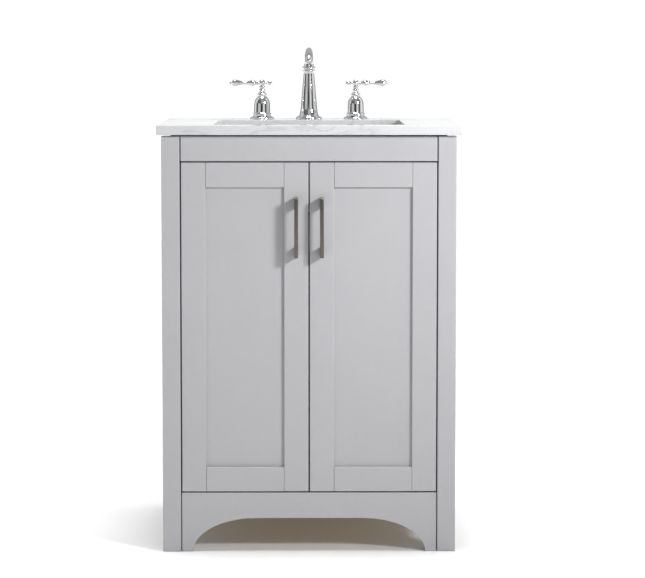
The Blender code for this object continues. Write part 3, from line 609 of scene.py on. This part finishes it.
def spout():
    """The swivelling collar and the tube that arches over the bowl."""
    collar = [
        [(0.0, 124.0), (9.6, 124.0)],
        [(9.6, 124.0), (9.8, 121.0), (10.6, 117.5), (11.6, 114.6), (12.6, 113.2)],
        [(12.6, 113.2), (13.6, 112.6), (14.2, 110.5), (13.6, 108.6), (12.6, 108.0)],
        [(12.6, 108.0), (10.6, 107.5)],
        [(10.6, 107.5), (0.0, 107.5)],
    ]
    place = on_stone(0.0)
    shape = bmesh.new()
    turned(shape, collar, place, steps=96)
    path = spout_line()
    tangents = [path[1][0] - path[0][0]]
    tangents += [after[0] - before[0] for before, after in zip(path, path[2:])]
    tangents.append(Vector(TIP_AIM))
    # each row is (point, direction, radius, shift along the direction)
    rows = [(point, tangent.normalized(), radius, 0.0) for (point, radius), tangent in zip(path, tangents)]
    tip, aim, radius, _ = rows.pop()
    rows += [(tip, aim, radius, -0.9), (tip, aim, radius - 0.25, -0.25), (tip, aim, radius - 0.8, 0.0)]
    rows += [(tip, aim, 6.95, 0.0), (tip, aim, 6.65, -0.35), (tip, aim, 6.6, -5.9)]
    around = 48
    across = Vector((1, 0, 0))
    rings = []
    for point, along, size, shift in rows:
        up = along.cross(across)
        centre = point + along * shift
        ring = []
        for i in range(around):
            angle = 2 * math.pi * i / around
            spot = centre + (across * math.cos(angle) + up * math.sin(angle)) * size
            ring.append(shape.verts.new(place @ (spot * MM)))
        rings.append(ring)
    for low, high in zip(rings, rings[1:]):
        skin(shape, low, high)
    shape.faces.new(rings[0])
    shape.faces.new(rings[-1])
    piece("spout", shape, "spout_arch", sharp=32)


def aerator():
    """The ridged insert in the spout's tip."""
    runs = [
        [(0.0, -5.4), (6.2, -5.4)],
        [(6.2, -5.4), (6.3, 0.3)],
        [(6.3, 0.3), (6.0, 0.8), (5.4, 0.8)],
        [(5.4, 0.8), (5.1, 0.0)],
    ]
    for size in (5.1, 4.1, 3.1, 2.1):
        runs.append([(size, 0.0), (size - 0.35, 0.35), (size - 0.7, 0.0)])
        runs.append([(size - 0.7, 0.0), (size - 1.0, 0.0)])
    runs.append([(1.1, 0.0), (0.0, 0.0)])
    facing = Vector(TIP_AIM).to_track_quat("Z", "X").to_matrix().to_4x4()
    shape = bmesh.new()
    turned(shape, runs, on_stone(0.0) @ Matrix.Translation(Vector(SPOUT_TIP) * MM) @ facing, steps=40)
    piece("aerator_insert", shape, "aerator", sharp=25)


def sideways(x, side):
    """A place at the ball of a handle whose Z axis runs along +X or -X."""
    ball = on_stone(x) @ Matrix.Translation((0, 0, LEVER_HEIGHT))
    return ball @ Matrix.Rotation(side * math.pi / 2, 4, "Y")


def bell(word, x):
    """A handle's bell-shaped base, hollow inside."""
    runs = [
        [(5.6, 56.0), (7.6, 56.0)],
        [(7.6, 56.0), (9.6, 54.8), (10.3, 52.6), (9.7, 50.4), (9.0, 49.6)],
        [(9.0, 49.6), (10.0, 48.2), (13.0, 44.8), (15.6, 40.0), (16.8, 34.0), (17.3, 24.0), (17.5, 14.4)],
        [(17.5, 14.4), (18.4, 13.4)],
        [(18.4, 13.4), (19.5, 12.2), (19.9, 10.2), (19.6, 8.4), (19.0, 7.4)],
        [(19.0, 7.4), (20.2, 6.4), (22.0, 5.3), (24.6, 4.0), (26.0, 2.2), (26.0, 0.3)],
        [(26.0, 0.3), (13.4, 0.3)],
        [(13.4, 0.3), (13.4, 38.0)],
        [(13.4, 38.0), (5.6, 42.0)],
        [(5.6, 42.0), (5.6, 56.0)],
    ]
    shape = bmesh.new()
    turned(shape, runs, on_stone(x), closed=True, steps=80)
    piece(f"{word}_bell", shape, f"{word}_handle_bell")


def hub(word, side, x):
    """A handle's stem with its rings and ball, and the finial opposite the lever."""
    runs = [
        [(0.0, 85.4), (3.2, 84.9), (5.7, 82.9), (7.1, 79.8), (7.1, 76.2), (5.6, 73.2), (4.6, 72.0)],
        [(4.6, 72.0), (5.8, 71.2), (6.5, 69.4), (5.9, 67.4), (4.8, 66.4)],
        [(4.8, 66.4), (6.0, 65.0), (6.7, 62.6), (6.4, 60.4), (6.0, 59.6)],
        [(6.0, 59.6), (7.0, 58.4), (7.4, 57.2), (7.4, 56.5)],
        [(7.4, 56.5), (5.0, 56.5)],
        [(5.0, 56.5), (5.0, 38.0)],
        [(5.0, 38.0), (0.0, 38.0)],
    ]
    finial = [
        [(0.0, 22.0), (2.6, 21.3), (4.4, 19.3), (4.9, 17.0), (4.3, 14.6), (3.0, 12.8)],
        [(3.0, 12.8), (3.6, 11.8), (3.2, 10.8), (2.8, 8.0), (2.9, 4.0)],
        [(2.9, 4.0), (0.0, 4.0)],
    ]
    shape = bmesh.new()
    turned(shape, runs, on_stone(x), steps=64)
    turned(shape, finial, sideways(x, -side), steps=40)
    piece(f"{word}_hub", shape, f"{word}_handle_hub")


def lever(word, side, x):
    """A turned lever: tip bead, long leaf, and the bead at the ball."""
    leaf = [(2.9, 66.9), (4.4, 65.8), (6.6, 63.2), (7.7, 60.0), (7.5, 57.0), (6.4, 53.0), (4.9, 47.5)]
    leaf += [(3.8, 42.5), (3.3, 37.5), (3.5, 33.0), (4.3, 28.5), (5.8, 24.0), (6.6, 20.5), (6.1, 17.2)]
    leaf += [(4.4, 14.6), (3.7, 13.2)]
    runs = [
        [(0.0, 71.0), (1.9, 70.8), (3.4, 69.6), (3.5, 68.0), (2.9, 66.9)],
        leaf,
        [(3.7, 13.2), (4.7, 12.4), (5.0, 10.6), (4.6, 8.8), (3.8, 8.0)],
        [(3.8, 8.0), (2.5, 8.0)],
        [(2.5, 8.0), (2.5, 2.0)],
        [(2.5, 2.0), (0.0, 2.0)],
    ]
    shape = bmesh.new()
    turned(shape, runs, sideways(x, side), steps=56)
    piece(f"{word}_lever", shape, f"{word}_handle_lever")


spout_column()
spout()
aerator()
for word, side in (("left", -1), ("right", 1)):
    bell(word, side * BELL_X)
    hub(word, side, side * BELL_X)
    lever(word, side, side * BELL_X)


# ---------------------------------------------------------------- door pulls

PULL_EDGE = 0.9 * MM


def corner_arc(x, y, radius, start, end, steps=8):
    """Points on a rounded corner between two angles in degrees."""
    angles = [math.radians(start + (end - start) * i / steps) for i in range(steps + 1)]
    return [(x + radius * math.cos(angle), y + radius * math.sin(angle)) for angle in angles]


def pull(word):
    """A flat bow cut from one bar: two wide legs and a slim grip, with rounded corners."""
    low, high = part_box(f"{word}_door_pull")
    half = (high.z - low.z) / 2
    near = (high.y - low.y) / 2
    leg, bar, corner, outer = 20 * MM, 9 * MM, 5 * MM, 3 * MM
    inner = half - leg
    outline = [(near, -half), (near, -inner)]
    outline += corner_arc(-near + bar + corner, -inner + corner, corner, 270, 180)
    outline += corner_arc(-near + bar + corner, inner - corner, corner, 180, 90)
    outline += [(near, inner), (near, half)]
    outline += corner_arc(-near + outer, half - outer, outer, 90, 180)
    outline += corner_arc(-near + outer, -half + outer, outer, 180, 270)
    stand = Matrix(((0, 0, 1, 0), (1, 0, 0, 0), (0, 1, 0, 0), (0, 0, 0, 1)))
    place = Matrix.Translation((low + high) / 2) @ stand
    slab(f"{word}_pull", [outline], high.x - low.x, PULL_EDGE, place, f"{word}_door_pull")


pull("left")
pull("right")


# ---------------------------------------------------------------- carried-over CAD nodes

# width of the rounded edges by finish, in millimetres
EDGE = {"grey_paint": 0.5, "cabinet_interior": 0.5, "hinge_steel": 0.25, "valve_brass": 0.4}
WELD = 0.02 * MM
EDGE_STEPS = 2
EDGE_FROM = math.radians(38)


def dress(node):
    """Gives a CAD node its finish and small rounded edges."""
    carried = NODES[node]
    carried.data.materials.clear()
    carried.data.materials.append(FINISHES[SLOT_OF[node]])
    width = EDGE.get(SLOT_OF[node])
    if carried.hide_render or width is None:
        return
    carried.modifiers.new("weld", "WELD").merge_threshold = WELD
    edge = carried.modifiers.new("edge", "BEVEL")
    edge.width = width * MM
    edge.segments = EDGE_STEPS
    edge.limit_method = "ANGLE"
    edge.angle_limit = EDGE_FROM
    edge.harden_normals = True


for node in NODES:
    dress(node)


# ---------------------------------------------------------------- stage

CAMERA_AT = (-0.0018, -4.8062, 1.0246)
CAMERA_TILT = math.radians(90 - 4.451)
CAMERA_TURN = math.radians(-0.36)
LENS = 127.92
SENSOR = 36.0
SHIFT = -0.102
FAR = 100.0
KEY_AT = Vector((1.68, -1.85, 1.62))
KEY_AIM = Vector((0.32, -0.2, 0.98))
KEY_POWER = 250
KEY_SIZE = 0.24
KEY_SPREAD = math.radians(54)
OVERHEAD = 2.3
OVERHEAD_SPREAD = math.radians(24)
FLOOR_SIZE = 30.0
FLOOR_GAP = 0.0005
# (turn round the studio, brightness): 0 and 1 are behind the cabinet, and 0.5 is in front of it
WALLS = [
    (0.000, 1.02),
    (0.036, 1.02),
    (0.048, 0.12),
    (0.140, 0.15),
    (0.155, 0.90),
    (0.235, 0.70),
    (0.250, 0.10),
    (0.325, 0.10),
    (0.340, 0.55),
    (0.430, 0.60),
    (0.445, 0.06),
    (0.525, 0.04),
    (0.540, 0.75),
    (0.600, 0.75),
    (0.615, 0.12),
    (0.690, 0.12),
    (0.710, 0.85),
    (0.840, 0.80),
    (0.860, 0.12),
    (0.952, 0.15),
    (0.964, 1.02),
    (1.000, 1.02),
]
UPPER = [
    (0.00, 0.45),
    (0.15, 0.40),
    (0.20, 0.85),
    (0.27, 0.60),
    (0.31, 0.10),
    (0.45, 0.16),
    (0.48, 0.45),
    (0.56, 0.45),
    (0.60, 0.12),
    (0.70, 0.20),
    (0.76, 0.90),
    (0.80, 0.85),
    (0.85, 0.40),
    (1.00, 0.45),
]
CEILING = [(0.0, 0.32), (1.0, 0.32)]
# the sines of the heights between which UPPER takes over from WALLS, and CEILING from UPPER
TAKE_OVER = [(0.13, 0.22), (0.60, 0.95)]


def key_light():
    """A soft spot from the front right that fades towards the floor."""
    data = bpy.data.lights.new("key", "SPOT")
    data.energy = KEY_POWER
    data.shadow_soft_size = KEY_SIZE
    data.spot_size = KEY_SPREAD
    data.spot_blend = 1.0
    made = bpy.data.objects.new("key", data)
    made.location = KEY_AT
    made.rotation_euler = (KEY_AIM - KEY_AT).to_track_quat("-Z", "Y").to_euler()
    SCENE.collection.objects.link(made)


def backdrop():
    """A studio backdrop: white right behind the cabinet, dim overhead, with darker strips elsewhere."""
    world = bpy.data.worlds.new("studio")
    world.use_nodes = True
    tree = world.node_tree
    link = tree.links.new
    split = tree.nodes.new("ShaderNodeSeparateXYZ")
    link(tree.nodes.new("ShaderNodeTexCoord").outputs["Generated"], split.inputs["Vector"])
    behind = tree.nodes.new("ShaderNodeMath")
    behind.operation = "MULTIPLY"
    behind.inputs[1].default_value = -1.0
    link(split.outputs["Y"], behind.inputs[0])
    turn = tree.nodes.new("ShaderNodeMath")
    turn.operation = "ARCTAN2"
    link(split.outputs["X"], turn.inputs[0])
    link(behind.outputs["Value"], turn.inputs[1])
    along = tree.nodes.new("ShaderNodeMapRange")
    along.inputs["From Min"].default_value = -math.pi
    along.inputs["From Max"].default_value = math.pi
    link(turn.outputs["Value"], along.inputs["Value"])
    ramps = []
    for stops in (WALLS, UPPER, CEILING):
        ramp = tree.nodes.new("ShaderNodeValToRGB")
        fill_ramp(ramp, stops)
        link(along.outputs["Result"], ramp.inputs["Fac"])
        ramps.append(ramp.outputs["Color"])
    colour = ramps[0]
    for layer, (low, high) in zip(ramps[1:], TAKE_OVER):
        rise = tree.nodes.new("ShaderNodeMapRange")
        rise.interpolation_type = "SMOOTHSTEP"
        rise.inputs["From Min"].default_value = low
        rise.inputs["From Max"].default_value = high
        link(split.outputs["Z"], rise.inputs["Value"])
        blend = tree.nodes.new("ShaderNodeMix")
        blend.data_type = "RGBA"
        link(rise.outputs["Result"], blend.inputs["Factor"])
        ends = [socket for socket in blend.inputs if socket.type == "RGBA"]
        link(colour, ends[0])
        link(layer, ends[1])
        colour = next(socket for socket in blend.outputs if socket.type == "RGBA")
    link(colour, tree.nodes["Background"].inputs["Color"])
    SCENE.world = world


def overhead():
    """Broad soft light from straight above, which keeps the floor white."""
    data = bpy.data.lights.new("overhead", "SUN")
    data.energy = OVERHEAD
    data.angle = OVERHEAD_SPREAD
    SCENE.collection.objects.link(bpy.data.objects.new("overhead", data))


def studio():
    """The floor, the backdrop and the lights."""
    shape = bmesh.new()
    bmesh.ops.create_grid(shape, x_segments=2, y_segments=2, size=FLOOR_SIZE)
    mesh = bpy.data.meshes.new("floor")
    shape.to_mesh(mesh)
    shape.free()
    mesh.materials.append(floor_finish())
    floor = bpy.data.objects.new("floor", mesh)
    floor.location = (0, 0, CAD_BOX[0].z - FLOOR_GAP)
    SCENE.collection.objects.link(floor)
    backdrop()
    overhead()
    key_light()
    SCENE.view_settings.view_transform = "Standard"
    SCENE.view_settings.look = "None"


def camera():
    """Almost straight at the front, a little above the stone."""
    data = bpy.data.cameras.new("camera")
    data.lens = LENS
    data.sensor_width = SENSOR
    data.shift_y = SHIFT
    data.clip_end = FAR
    made = bpy.data.objects.new("camera", data)
    made.location = CAMERA_AT
    made.rotation_euler = (CAMERA_TILT, 0, CAMERA_TURN)
    SCENE.collection.objects.link(made)
    SCENE.camera = made


studio()
camera()
